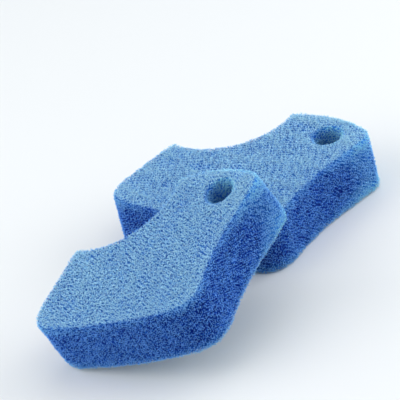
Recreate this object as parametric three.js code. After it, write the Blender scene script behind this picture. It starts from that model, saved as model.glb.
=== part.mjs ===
// A pair of filter foam pads cut to the same boomerang outline.
// One pad lies flat. The other stands on its tail end and leans its head end on the first.
import * as THREE from 'three';

// Driving dimensions, in millimetres and degrees, +Z up.
const PAD_THICKNESS = 50;
const INNER_ARC_CHORD = 95;
const INNER_ARC_DEPTH = 23.5;
const PIPE_HOLE = { x: 116, y: -43, radius: 11.5 };

// The outline runs from the inner tail corner (0, 0) along the concave inner arc to the
// inner head corner, then past these points and back. Each point is rounded off, starting
// `reach` before it and ending `reach` after it.
const HEAD_BULGE = { x: 132, y: -23, reach: 22 };
const OUTER_HEAD_CORNER = { x: 151, y: -55, reach: 12 };
const SIDE_HOLLOW = { x: 90, y: -99, reach: 28 };
const ELBOW = { x: 57, y: -142, reach: 26 };
const BACK_BULGE = { x: -2, y: -107, reach: 42 };
const OUTER_TAIL_CORNER = { x: -65, y: -47, reach: 28 };

// The leaning pad, placed from the flat pad's inner tail corner.
const LEAN_ANGLE = 19.25;
const LEAN_AXIS_HEADING = -75.6;
const LEANING_PAD_HEADING = 9.2;
const LEANING_PAD_OFFSET = { x: -75, y: -128.6 };

const CURVE_STEPS = 16;
const FOAM_BLUE = 0x5f93c9;

function addRoundedPoint(outline, before, point, after) {
  const corner = new THREE.Vector2(point.x, point.y);
  const start = new THREE.Vector2(before.x, before.y).sub(corner).setLength(point.reach);
  const end = new THREE.Vector2(after.x, after.y).sub(corner).setLength(point.reach);
  start.add(corner);
  end.add(corner);
  outline.lineTo(start.x, start.y);
  outline.quadraticCurveTo(corner.x, corner.y, end.x, end.y);
}

function padOutline() {
  const innerTailCorner = { x: 0, y: 0 };
  const innerHeadCorner = { x: INNER_ARC_CHORD, y: 0 };
  const halfChord = INNER_ARC_CHORD / 2;
  const arcRadius = (halfChord ** 2 + INNER_ARC_DEPTH ** 2) / (2 * INNER_ARC_DEPTH);
  const arcCentreY = arcRadius - INNER_ARC_DEPTH;
  const startAngle = Math.atan2(-arcCentreY, -halfChord);
  const endAngle = Math.atan2(-arcCentreY, halfChord);

  const outline = new THREE.Shape();
  outline.moveTo(innerTailCorner.x, innerTailCorner.y);
  outline.absarc(halfChord, arcCentreY, arcRadius, startAngle, endAngle, false);
  const points = [
    innerHeadCorner,
    HEAD_BULGE,
    OUTER_HEAD_CORNER,
    SIDE_HOLLOW,
    ELBOW,
    BACK_BULGE,
    OUTER_TAIL_CORNER,
    innerTailCorner,
  ];
  for (let i = 1; i < points.length - 1; i += 1) {
    addRoundedPoint(outline, points[i - 1], points[i], points[i + 1]);
  }
  outline.closePath();
  return outline;
}

function pipeHole() {
  const hole = new THREE.Path();
  hole.absarc(PIPE_HOLE.x, PIPE_HOLE.y, PIPE_HOLE.radius, 0, 2 * Math.PI, false);
  return hole;
}

function foamPad(name) {
  const outline = padOutline();
  outline.holes.push(pipeHole());
  const geometry = new THREE.ExtrudeGeometry(outline, {
    depth: PAD_THICKNESS,
    bevelEnabled: false,
    curveSegments: CURVE_STEPS,
  });
  const material = new THREE.MeshStandardMaterial({
    color: FOAM_BLUE,
    roughness: 0.95,
    metalness: 0,
  });
  const pad = new THREE.Mesh(geometry, material);
  pad.name = name;
  return pad;
}

// Turns the pad to its heading, tips it about a level axis and sets its lowest edge at Z = 0.
function leaningPad(name) {
  const pad = foamPad(name);
  pad.rotation.z = THREE.MathUtils.degToRad(LEANING_PAD_HEADING);
  const heading = THREE.MathUtils.degToRad(LEAN_AXIS_HEADING);
  const axis = new THREE.Vector3(Math.cos(heading), Math.sin(heading), 0);
  const lean = new THREE.Group();
  lean.quaternion.setFromAxisAngle(axis, THREE.MathUtils.degToRad(LEAN_ANGLE));
  lean.add(pad);
  const lowest = new THREE.Box3().setFromObject(lean, true).min.z;
  lean.position.set(LEANING_PAD_OFFSET.x, LEANING_PAD_OFFSET.y, -lowest);
  return lean;
}

// The origin is the middle of the pair's footprint, on the floor.
function centredOnFootprint(...pieces) {
  const pair = new THREE.Group();
  pair.add(...pieces);
  const middle = new THREE.Box3().setFromObject(pair, true).getCenter(new THREE.Vector3());
  pair.position.set(-middle.x, -middle.y, 0);
  return pair;
}

const filter = new THREE.Group();
filter.add(centredOnFootprint(foamPad('flat_pad'), leaningPad('leaning_pad')));

export default filter;
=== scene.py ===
"""Sponge filter: a flat pad and a leaning pad of coarse blue open-cell foam.

Each pad is a web of thin strands, the edges of packed foam cells, over a solid core that stands for the foam
further in. The strands follow the pad's cut surface, which is the CAD solid with its edges softened and its
faces left a little wavy by the knife. Everything is in metres, in the frame of the CAD model.
"""

import itertools
import math

import bpy
import numpy as np
from mathutils import Matrix, Vector
from mathutils.bvhtree import BVHTree
from mathutils.kdtree import KDTree


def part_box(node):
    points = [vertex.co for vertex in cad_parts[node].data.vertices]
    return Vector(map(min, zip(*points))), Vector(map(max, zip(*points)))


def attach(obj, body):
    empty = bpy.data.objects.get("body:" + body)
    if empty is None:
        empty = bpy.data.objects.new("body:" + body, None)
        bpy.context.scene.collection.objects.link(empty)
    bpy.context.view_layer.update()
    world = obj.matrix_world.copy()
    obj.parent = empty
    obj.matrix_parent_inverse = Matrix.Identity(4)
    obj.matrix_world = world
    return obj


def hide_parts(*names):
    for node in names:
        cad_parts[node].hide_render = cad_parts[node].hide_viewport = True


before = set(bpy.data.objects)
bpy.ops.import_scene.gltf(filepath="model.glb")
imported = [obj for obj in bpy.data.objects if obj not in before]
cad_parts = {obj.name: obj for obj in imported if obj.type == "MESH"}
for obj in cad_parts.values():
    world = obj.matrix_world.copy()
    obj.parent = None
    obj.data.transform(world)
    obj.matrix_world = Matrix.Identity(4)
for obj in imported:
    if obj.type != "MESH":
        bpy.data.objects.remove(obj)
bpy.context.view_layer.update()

# Foam cells. Each cubic cell of the lattice holds two rounded foam cells.
CELL = 0.00255
CELL_JITTER = 0.12  # of a cell, for each meeting point of strands
SLOW_BEND = (8, 0.5, 0.15)  # waves, radians for each cell, and height of each wave in cells
QUICK_BEND = (12, 3.0, 0.05)
QUARTERS = 4  # strands meet at whole quarters of a cubic cell
SPARE_CELLS = 2  # rows of cells past the pad on each side

# Strands
STRAND_RADIUS = 0.00024
STRAND_SPREAD = (0.8, 1.25)  # thinnest and thickest, as shares of the radius
STRAND_SIDES = 3
STRAND_OVERLAP = 0.4  # of the radius, past each end
SHORTEST_STRAND = 0.00001
LOOSE_END = 0.0013  # the most that a cut strand stands out of the pad
TINY = 1e-12  # keeps level strands from a division by zero
WEB_DEPTH = 0.0020  # how deep the web of strands goes
OUTERMOST_DEPTH = -0.2  # in web depths, where a strand's colour, darker with depth as painted shade, stops changing outwards
FACES_PER_PIECE = 190000
SPLIT_DIRECTION = (0.8, 0.6, 0.0)  # the strands are shared out over pieces along this direction

# Cut surface and core
SKIN_VOXEL = 0.0016
SKIN_SMOOTHING = 16
CUT_WAVES = 6
CUT_WAVE_HEIGHT = 0.0005
CUT_WAVE_LENGTH = 0.022
SIDE_FADE = 0.25  # the turn from a large face that makes a full side wall, with full painted shade, as 1 less its cosine
CORE_VOXEL = 0.0012
CORE_DEPTH = 0.0019  # how far the core lies under the cut surface

# Light that gets through thin foam, painted into the foam's colour as a paler glow
LIGHT_WAYS = 48
LIGHT_SLANT = 0.25  # cosine between the shallowest way and the inward normal
LIGHT_START = 0.0012  # how far off the surface each way starts
LIGHT_REACH = 0.020
LIGHT_SHARES = (0.22, 0.45)  # the shares of light that count as deep and as thin foam
LIGHT_BLUR = 20  # rounds of averaging over neighbouring points
HOLE_REACH = 0.030  # walls that face each other closer than this get painted light from each other
HOLE_LIGHT = 0.38  # to at least this share of painted light

# Foam colours
MOTTLE_SCALE = 700
MOTTLE = 0.5  # how far the mottle moves a strand's colour, in web depths
THROUGH_LIGHT_PAINT = 0.35  # how far painted light through thin foam moves a strand's colour towards the surface's, in web depths
DEEP_NET_FINENESS = 1.2  # of the cells drawn on the core, against the cells of the lattice

# Camera
VIEW_HEIGHT_ANGLE = math.radians(34.3)
VIEW_ROLL = math.radians(-14.3)
VIEW_DISTANCE = 6.0
VIEW_WIDTH = 0.310
VIEW_TARGET = Vector((0.00255, 0.1154, 0.0))
VIEW_END = 50
SENSOR_WIDTH = 36.0

# Studio
LAMP_TARGET = Vector((0, 0, 0.03))
FLOOR_HALF_WIDTH = 4.0
FLOOR_HEIGHT = -0.0002


def linked(data, name):
    """A new object with this data, in the scene."""
    piece = bpy.data.objects.new(name, data)
    bpy.context.collection.objects.link(piece)
    return piece


def applied(piece):
    """The mesh of a piece with its modifiers applied, as a mesh of its own."""
    depsgraph = bpy.context.evaluated_depsgraph_get()
    return bpy.data.meshes.new_from_object(piece.evaluated_get(depsgraph))


def set_attribute(mesh, name, values):
    attribute = mesh.attributes.new(name, "FLOAT", "POINT")
    attribute.data.foreach_set("value", values.astype(np.float32).ravel())


def attribute_values(mesh, name):
    values = np.empty(len(mesh.vertices), np.float32)
    mesh.attributes[name].data.foreach_get("value", values)
    return values


def mesh_points(mesh):
    points = np.empty(len(mesh.vertices) * 3, np.float32)
    mesh.vertices.foreach_get("co", points)
    return points.reshape(-1, 3).astype(float)


def mesh_normals(mesh):
    normals = np.empty(len(mesh.vertices) * 3, np.float32)
    mesh.vertex_normals.foreach_get("vector", normals)
    return normals.reshape(-1, 3).astype(float)


def search_tree(mesh):
    """The faces of a mesh, ready for nearest points and rays."""
    vertices = [v.co.copy() for v in mesh.vertices]
    faces = [tuple(p.vertices) for p in mesh.polygons]
    return BVHTree.FromPolygons(vertices, faces)


def nearest_surface(tree, points):
    """How far each point lies outside the surface, or, below zero, inside it, and the normal there."""
    distances = np.empty(len(points))
    normals = np.empty((len(points), 3))
    for i, point in enumerate(points):
        point = Vector(point)
        nearest, normal, _, distance = tree.find_nearest(point)
        distances[i] = distance if (point - nearest).dot(normal) > 0 else -distance
        normals[i] = normal
    return distances, normals


def values_at(points, places, values):
    """The values of the places nearest to the points."""
    tree = KDTree(len(places))
    for i, place in enumerate(places):
        tree.insert(place, i)
    tree.balance()
    return values[[tree.find(point)[1] for point in points]]


def wave_field(rng, count, rate, height):
    """A smooth random field, as a function that gives three values for each point."""
    turns = rng.normal(size=(count, 3, 3)) * rate
    phases = rng.uniform(0, 2 * np.pi, (count, 3))
    heights = rng.normal(size=(count, 3)) * height
    return lambda points: sum(h * np.sin(points @ t + p) for t, p, h in zip(turns, phases, heights))


def smoothed_solid(node):
    """A fine even mesh of the CAD solid, with its edges rounded by smoothing."""
    solid = linked(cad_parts[node].data.copy(), node + "_solid")
    remesh = solid.modifiers.new("fine", "REMESH")
    remesh.mode = "VOXEL"
    remesh.voxel_size = SKIN_VOXEL
    smooth = solid.modifiers.new("softened", "SMOOTH")
    smooth.iterations = SKIN_SMOOTHING
    mesh = applied(solid)
    bpy.data.objects.remove(solid)
    return mesh


def cut_surface(node, rng):
    """The pad's outer surface: the CAD solid with softened edges and faces that the knife left wavy."""
    mesh = smoothed_solid(node)
    points = mesh_points(mesh)
    waves = wave_field(rng, CUT_WAVES, np.pi / CUT_WAVE_LENGTH, 1.0)(points)[:, 0]
    inward = CUT_WAVE_HEIGHT * (0.5 - 0.5 * np.tanh(waves / 2))
    points -= mesh_normals(mesh) * inward[:, None]
    mesh.vertices.foreach_set("co", points.astype(np.float32).ravel())
    mesh.update()
    return linked(mesh, node + "_skin")


def thickness_axis(node):
    """The direction in which the CAD solid's widest face looks."""
    widest = max(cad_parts[node].data.polygons, key=lambda face: face.area)
    return np.array(widest.normal)


def wall_shade_share(node, normals):
    """How much of a cut side wall lies at each point: 0 on the large faces and 1 on the walls, which get
    painted shade.
    """
    facing = np.abs(normals @ thickness_axis(node))
    return np.clip((1 - facing) / SIDE_FADE, 0, 1)


def even_ways(count):
    """Unit vectors spread evenly over the sphere."""
    height = 1 - (2 * np.arange(count) + 1) / count
    turn = np.arange(count) * math.pi * (3 - math.sqrt(5))
    across = np.sqrt(1 - height**2)
    return np.stack((across * np.cos(turn), across * np.sin(turn), height), -1)


def neighbour_means(mesh, values):
    """Halfway between each point's value and the mean of its neighbours' values."""
    edges = np.empty(len(mesh.edges) * 2, np.int32)
    mesh.edges.foreach_get("vertices", edges)
    first, second = edges.reshape(-1, 2).T
    count = np.bincount(edges, minlength=len(values))
    total = np.bincount(first, values[second], len(values))
    total += np.bincount(second, values[first], len(values))
    return (values + total / count) / 2


def through_light_share(mesh):
    """For each point of a closed mesh, from 0 to 1, how much light comes through the foam behind it, which is
    painted into the colour as a paler glow.
    """
    tree = search_tree(mesh)
    points = mesh_points(mesh)
    normals = mesh_normals(mesh)
    ways = even_ways(LIGHT_WAYS)
    slants = -normals @ ways.T
    light = np.zeros(len(points))
    for i, (point, normal) in enumerate(zip(points, normals)):
        inward = np.nonzero(slants[i] > LIGHT_SLANT)[0]
        start = point - normal * LIGHT_START
        lengths = np.array([tree.ray_cast(start, ways[way])[3] or 0.0 for way in inward])
        light[i] = np.average(np.exp(-lengths / LIGHT_REACH), weights=slants[i, inward])
        # Walls that face each other across a hole get painted light from each other.
        facing_wall = tree.ray_cast(point + normal * LIGHT_START, normal, HOLE_REACH)[0]
        if facing_wall is not None:
            light[i] = max(light[i], HOLE_LIGHT)
    for _ in range(LIGHT_BLUR):
        light = neighbour_means(mesh, light)
    return np.interp(light, LIGHT_SHARES, (0, 1))


def foam_core(node, skin):
    """A solid that lies CORE_DEPTH under the cut surface."""
    volume = linked(bpy.data.volumes.new(node + "_volume"), node + "_volume")
    fill = volume.modifiers.new("fill", "MESH_TO_VOLUME")
    fill.object = skin
    fill.resolution_mode = "VOXEL_SIZE"
    fill.voxel_size = CORE_VOXEL
    fill.interior_band_width = CORE_DEPTH * 2
    core = linked(bpy.data.meshes.new(node + "_core"), node + "_core")
    shell = core.modifiers.new("shell", "VOLUME_TO_MESH")
    shell.object = volume
    shell.threshold = 0.5  # the middle of the band
    mesh = applied(core)
    core.modifiers.clear()
    core.data = mesh
    # The side walls get a darker colour: painted shade.
    set_attribute(mesh, "side", wall_shade_share(node, mesh_normals(mesh)))
    # Painted light: how much light gets through the foam, for a paler glow in the colour.
    set_attribute(mesh, "through_light", through_light_share(mesh))
    bpy.data.objects.remove(volume)
    return core


def kelvin_edges():
    """The 24 strands of one cubic cell of packed truncated octahedra, as pairs of points in quarter cells."""
    corners = set()
    for order in set(itertools.permutations((0, 1, 2))):
        for signs in itertools.product((1, -1), repeat=3):
            corners.add(tuple((order[i] * signs[i]) % QUARTERS for i in range(3)))
    steps = [s for s in itertools.product((-1, 0, 1), repeat=3) if sum(map(abs, s)) == 2]
    edges = []
    for corner in sorted(corners):
        for step in steps:
            end = tuple(np.add(corner, step))
            if tuple(np.mod(end, QUARTERS)) in corners and end > corner:
                edges.append((corner, end))
    return np.array(edges)


def joined_points(cells):
    """The meeting points of the strands of these cells, in cells, and the pairs that a strand joins."""
    ends = (cells[:, None, None, :] * QUARTERS + kelvin_edges()[None]).reshape(-1, 2, 3)
    start = ends.min(axis=(0, 1))
    size = ends.max(axis=(0, 1)) - start + 1
    codes = np.ravel_multi_index(np.moveaxis(ends - start, -1, 0), size)
    unique, index = np.unique(codes, return_inverse=True)
    pairs = np.unique(np.sort(index.reshape(codes.shape), axis=1), axis=0)
    points = (np.stack(np.unravel_index(unique, size), -1) + start) / QUARTERS
    return points, pairs


def random_turn(rng):
    turn = np.linalg.qr(rng.normal(size=(3, 3)))[0]
    if np.linalg.det(turn) < 0:
        turn[:, 0] *= -1
    return turn


def foam_lattice(node, tree, rng):
    """The points where strands meet near the pad's surface, and the pairs of them that a strand joins."""
    low, high = (np.array(corner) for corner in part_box(node))
    middle = (low + high) / 2
    turn = random_turn(rng)
    reach = np.ceil((np.abs(turn).T @ (high - low) / 2) / CELL).astype(int) + SPARE_CELLS
    cells = np.stack(np.meshgrid(*[np.arange(-n, n) for n in reach], indexing="ij"), -1).reshape(-1, 3)
    slow = wave_field(rng, *SLOW_BEND)
    quick = wave_field(rng, *QUICK_BEND)
    centres = cells + 0.5
    centres = (centres + slow(centres) + quick(centres)) * CELL @ turn.T + middle
    in_box = np.all((centres > low - CELL) & (centres < high + CELL), axis=1)
    cells, centres = cells[in_box], centres[in_box]
    distance, _ = nearest_surface(tree, centres)
    cells = cells[(distance < CELL) & (distance > -WEB_DEPTH - CELL)]
    points, pairs = joined_points(cells)
    points += slow(points) + quick(points) + rng.uniform(-CELL_JITTER, CELL_JITTER, points.shape)
    return points * CELL @ turn.T + middle, pairs


def cut_at(height, near, far, near_distance, far_distance):
    """The far ends of strands, drawn in to this height above the surface where they stand further out."""
    rise = far_distance - near_distance + TINY
    share = np.clip((height - near_distance) / rise, 0, 1)
    cut = near + (far - near) * share[:, None]
    return np.where((far_distance > height)[:, None], cut, far)


def pad_strands(node, tree, core, neighbour, rng):
    """The strands of one pad: both ends of each, their radii, and what their colour depends on."""
    points, pairs = foam_lattice(node, tree, rng)
    distance, normals = nearest_surface(tree, points)
    # How much painted wall shade each meeting point gets.
    side = wall_shade_share(node, normals)
    # How much painted light through thin foam each meeting point gets, read off the core.
    through_light = values_at(points, mesh_points(core.data), attribute_values(core.data, "through_light"))
    first, second = distance[pairs.T]
    shown = (np.minimum(first, second) < 0) & (np.maximum(first, second) > -WEB_DEPTH)
    pairs, first, second = pairs[shown], first[shown], second[shown]
    radius = STRAND_RADIUS * rng.uniform(*STRAND_SPREAD, len(pairs))
    room, _ = nearest_surface(neighbour, points[pairs].mean(axis=1))
    loose = np.minimum(rng.uniform(0, LOOSE_END, len(pairs)), room / 2 - radius)
    starts = cut_at(loose, points[pairs[:, 1]], points[pairs[:, 0]], second, first)
    ends = cut_at(loose, points[pairs[:, 0]], points[pairs[:, 1]], first, second)
    for tips in (starts, ends):
        tips[:, 2] = np.maximum(tips[:, 2], radius)  # so that no strand goes through the floor
    looks = {
        # Deeper strands get a darker colour: painted shade of the web over them.
        "depth": np.clip(-np.stack((first, second), -1) / WEB_DEPTH, OUTERMOST_DEPTH, 1),
        "through_light": through_light[pairs],
        "side": side[pairs],
    }
    kept = np.linalg.norm(ends - starts, axis=1) > SHORTEST_STRAND
    return starts[kept], ends[kept], radius[kept], {name: values[kept] for name, values in looks.items()}


def strand_faces():
    """The triangles of one closed strand, a prism whose first ring of points comes before its second."""
    n = STRAND_SIDES
    faces = []
    for side in range(n):
        after = (side + 1) % n
        faces.append((side, after, after + n))
        faces.append((side, after + n, side + n))
    faces.extend((0, side + 1, side) for side in range(1, n - 1))
    faces.extend((n, n + side, n + side + 1) for side in range(1, n - 1))
    return np.array(faces)


def strand_mesh(name, starts, ends, radius, looks, rng):
    """One mesh with a slim prism for each strand, and an attribute for each of its looks."""
    along = ends - starts
    along /= np.linalg.norm(along, axis=1)[:, None]
    across = np.cross(along, rng.normal(size=along.shape))
    across /= np.linalg.norm(across, axis=1)[:, None]
    upward = np.cross(along, across)
    angle = np.arange(STRAND_SIDES) * 2 * np.pi / STRAND_SIDES
    ring = across[:, None] * np.cos(angle)[None, :, None] + upward[:, None] * np.sin(angle)[None, :, None]
    ring *= radius[:, None, None]
    overlap = (along * radius[:, None] * STRAND_OVERLAP)[:, None]
    corners = np.concatenate((starts[:, None] - overlap + ring, ends[:, None] + overlap + ring), axis=1)
    first_corners = np.arange(len(starts))[:, None, None] * 2 * STRAND_SIDES
    faces = (first_corners + strand_faces()[None]).reshape(-1, 3)

    mesh = bpy.data.meshes.new(name)
    mesh.vertices.add(corners.size // 3)
    mesh.vertices.foreach_set("co", corners.astype(np.float32).ravel())
    mesh.loops.add(faces.size)
    mesh.loops.foreach_set("vertex_index", faces.astype(np.int32).ravel())
    mesh.polygons.add(len(faces))
    mesh.polygons.foreach_set("loop_start", np.arange(0, faces.size, 3, dtype=np.int32))
    mesh.update(calc_edges=True)
    for look, values in looks.items():
        set_attribute(mesh, look, np.repeat(values, STRAND_SIDES, axis=1))
    return mesh


def new_material(name, roughness):
    """A new material, with its node tree and its main shader."""
    made = bpy.data.materials.new(name)
    made.use_nodes = True
    shader = made.node_tree.nodes["Principled BSDF"]
    shader.inputs["Roughness"].default_value = roughness
    return made, made.node_tree, shader


def colour_steps(tree, position, steps):
    """The colour at this position on a ramp with these (position, colour) steps."""
    node = tree.nodes.new("ShaderNodeValToRGB")
    ramp = node.color_ramp
    while len(ramp.elements) < len(steps):
        ramp.elements.new(0.5)
    for element, (place, colour) in zip(ramp.elements, steps):
        element.position = place
        element.color = (*colour, 1)
    tree.links.new(position, node.inputs["Fac"])
    return node.outputs["Color"]


def attribute_socket(tree, name):
    attribute = tree.nodes.new("ShaderNodeAttribute")
    attribute.attribute_name = name
    return attribute.outputs["Fac"]


def times_plus(tree, value, factor, added):
    """value * factor + added, where each is a socket or a number."""
    node = tree.nodes.new("ShaderNodeMath")
    node.operation = "MULTIPLY_ADD"
    for socket, source in zip(node.inputs, (value, factor, added)):
        if isinstance(source, bpy.types.NodeSocket):
            tree.links.new(source, socket)
        else:
            socket.default_value = source
    return node.outputs[0]


def blended(tree, share, first, second):
    """The first colour where share is 0 and the second where it is 1."""
    mix = tree.nodes.new("ShaderNodeMix")
    mix.data_type = "RGBA"
    first_colour, second_colour = mix.inputs[6], mix.inputs[7]  # their names are those of other sockets too
    mixed_colour = mix.outputs[2]
    tree.links.new(share, mix.inputs["Factor"])
    tree.links.new(first, first_colour)
    tree.links.new(second, second_colour)
    return mixed_colour


def foam_colour(tree, position, face, side, painted_glow):
    """The large faces in one ramp's colour and the side walls in another's darker one, painted shade, paler
    where the foam is thin, painted light that gets through it.
    """
    face, side, painted_glow = (colour_steps(tree, position, steps) for steps in (face, side, painted_glow))
    # Where light gets through thin foam, the walls' painted shade gives way to a painted glow.
    wall = blended(tree, attribute_socket(tree, "through_light"), side, painted_glow)
    return blended(tree, attribute_socket(tree, "side"), face, wall)


def strand_material():
    """Blue foam strands: pale at the surface and deep blue inside, painted shade of the web above them; paler
    in thin foam, painted light that gets through it; deep blue on the cut walls, painted shade.
    """
    made, tree, shader = new_material("blue_foam_strands", roughness=0.55)
    shader.inputs["Specular IOR Level"].default_value = 0.08
    place = tree.nodes.new("ShaderNodeTexCoord")
    mottle = tree.nodes.new("ShaderNodeTexNoise")
    mottle.inputs["Scale"].default_value = MOTTLE_SCALE
    mottle.inputs["Detail"].default_value = 2
    tree.links.new(place.outputs["Object"], mottle.inputs["Vector"])
    inward = times_plus(tree, mottle.outputs["Fac"], MOTTLE, -MOTTLE / 2)
    # Deeper strands move down the ramps towards darker blue: painted shade.
    inward = times_plus(tree, attribute_socket(tree, "depth"), 1.0, inward)
    # Where light gets through thin foam, the colour moves towards the paler surface colour: painted light.
    inward = times_plus(tree, attribute_socket(tree, "through_light"), -THROUGH_LIGHT_PAINT, inward)
    # Large faces: pale at the surface to deep blue inside, painted shade by depth.
    face = (
        (0.0, (0.48, 0.79, 0.97)),
        (0.40, (0.26, 0.60, 0.95)),
        (0.75, (0.04, 0.25, 0.77)),
        (1.0, (0.012, 0.12, 0.52)),
    )
    # Side walls: deeper, darker blues, painted shade.
    side = (
        (0.0, (0.17, 0.45, 0.97)),
        (0.22, (0.016, 0.14, 0.74)),
        (0.55, (0.0012, 0.034, 0.41)),
        (1.0, (0.0006, 0.014, 0.24)),
    )
    # Thin foam: paler blues, painted light that gets through it.
    painted_glow = (
        (0.0, (0.36, 0.79, 1.0)),
        (0.3, (0.08, 0.42, 1.0)),
        (1.0, (0.02, 0.25, 0.95)),
    )
    tree.links.new(foam_colour(tree, inward, face, side, painted_glow), shader.inputs["Base Color"])
    return made


def core_material():
    """The foam further in: deep blue that light soaks into, painted shade of the foam under the strands,
    darker on the side walls as painted shade and paler in thin foam as painted light, with more strands as a
    faint paler net.
    """
    made, tree, shader = new_material("blue_foam_depth", roughness=0.9)
    shader.inputs["Subsurface Weight"].default_value = 1.0
    shader.inputs["Subsurface Radius"].default_value = (0.15, 0.45, 1.0)
    shader.inputs["Subsurface Scale"].default_value = 0.02
    place = tree.nodes.new("ShaderNodeTexCoord")
    cells = tree.nodes.new("ShaderNodeTexVoronoi")
    cells.feature = "DISTANCE_TO_EDGE"
    cells.inputs["Scale"].default_value = 1 / CELL * DEEP_NET_FINENESS
    tree.links.new(place.outputs["Object"], cells.inputs["Vector"])
    # Large faces: a deep blue, painted shade of the foam further in, paler along the drawn net.
    face = (
        (0.0, (0.06, 0.29, 0.78)),
        (0.08, (0.035, 0.20, 0.66)),
        (0.3, (0.018, 0.13, 0.54)),
    )
    # Side walls: deeper, darker blues, painted shade.
    side = (
        (0.0, (0.005, 0.075, 0.50)),
        (0.08, (0.0025, 0.042, 0.39)),
        (0.3, (0.001, 0.024, 0.30)),
    )
    # Thin foam: paler blues, painted light that gets through it.
    painted_glow = (
        (0.0, (0.08, 0.44, 1.0)),
        (0.3, (0.04, 0.32, 0.98)),
    )
    colour = foam_colour(tree, cells.outputs["Distance"], face, side, painted_glow)
    tree.links.new(colour, shader.inputs["Base Color"])
    return made


def build_strands(node, strands, look, rng):
    """The strands of one pad, in pieces that each hold a stretch of the pad."""
    starts, ends, radius, looks = strands
    count = math.ceil(len(starts) * len(strand_faces()) / FACES_PER_PIECE)
    order = np.argsort(starts @ np.array(SPLIT_DIRECTION), kind="stable")
    for number, part in enumerate(np.array_split(order, count), start=1):
        name = f"{node}_strands_{number}"
        part_looks = {look_name: values[part] for look_name, values in looks.items()}
        mesh = strand_mesh(name, starts[part], ends[part], radius[part], part_looks, rng)
        mesh.materials.append(look)
        piece = linked(mesh, name)
        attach(piece, node)


def build_pad(node, neighbour_node, seed, strands_look, core_look):
    """One pad: the core, which stands in for the CAD solid, and the strands over it."""
    rng = np.random.default_rng(seed)
    skin = cut_surface(node, rng)
    tree = search_tree(skin.data)
    core = foam_core(node, skin)
    neighbour = search_tree(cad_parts[neighbour_node].data)
    strands = pad_strands(node, tree, core, neighbour, rng)
    bpy.data.objects.remove(skin)
    build_strands(node, strands, strands_look, rng)
    core.data.materials.clear()
    core.data.materials.append(core_look)
    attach(core, node)
    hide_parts(node)


def build_floor():
    """A pale floor, just under the pads."""
    half = FLOOR_HALF_WIDTH
    corners = [(-half, -half, 0), (half, -half, 0), (half, half, 0), (-half, half, 0)]
    mesh = bpy.data.meshes.new("floor")
    mesh.from_pydata(corners, [], [(0, 1, 2, 3)])
    floor = linked(mesh, "floor")
    floor.location.z = FLOOR_HEIGHT
    made, tree, shader = new_material("pale_floor", roughness=0.8)
    noise = tree.nodes.new("ShaderNodeTexNoise")
    noise.inputs["Scale"].default_value = 3
    steps = ((0.3, (0.86, 0.84, 0.81)), (0.7, (0.88, 0.86, 0.83)))
    tree.links.new(colour_steps(tree, noise.outputs["Fac"], steps), shader.inputs["Base Color"])
    mesh.materials.append(made)


def soft_light(name, place, size, power):
    """A square white lamp that faces the pads."""
    light = bpy.data.lights.new(name, "AREA")
    light.size = size
    light.energy = power
    lamp = linked(light, name)
    lamp.location = place
    lamp.rotation_euler = (LAMP_TARGET - Vector(place)).to_track_quat("-Z", "Y").to_euler()


def build_lights():
    """Three soft lamps and an even pale blue sky."""
    soft_light("left", place=(-1.22, -0.18, 0.86), size=1.7, power=16.5)
    soft_light("right", place=(1.32, 0.06, 0.50), size=1.4, power=16)
    soft_light("top", place=(0.3, 0.3, 1.6), size=1.8, power=10)
    world = bpy.data.worlds.new("studio")
    bpy.context.scene.world = world
    world.use_nodes = True
    background = world.node_tree.nodes["Background"]
    background.inputs["Color"].default_value = (0.70, 0.85, 1.0, 1)
    background.inputs["Strength"].default_value = 0.49


def build_camera():
    """The photo's view: from in front and above, and turned about the line of sight."""
    lens = bpy.data.cameras.new("camera")
    camera = linked(lens, "camera")
    back = Vector((0, -math.cos(VIEW_HEIGHT_ANGLE), math.sin(VIEW_HEIGHT_ANGLE)))
    camera.location = VIEW_TARGET + back * VIEW_DISTANCE
    level = (-back).to_track_quat("-Z", "Y").to_matrix()
    camera.rotation_euler = (level @ Matrix.Rotation(VIEW_ROLL, 3, "Z")).to_euler()
    lens.sensor_width = SENSOR_WIDTH
    lens.lens = SENSOR_WIDTH * VIEW_DISTANCE / VIEW_WIDTH
    lens.clip_end = VIEW_END
    bpy.context.scene.camera = camera


strands_look = strand_material()
core_look = core_material()
build_pad("flat_pad", "leaning_pad", 1, strands_look, core_look)
build_pad("leaning_pad", "flat_pad", 2, strands_look, core_look)
build_floor()
build_lights()
build_camera()
bpy.context.scene.view_settings.view_transform = "Standard"
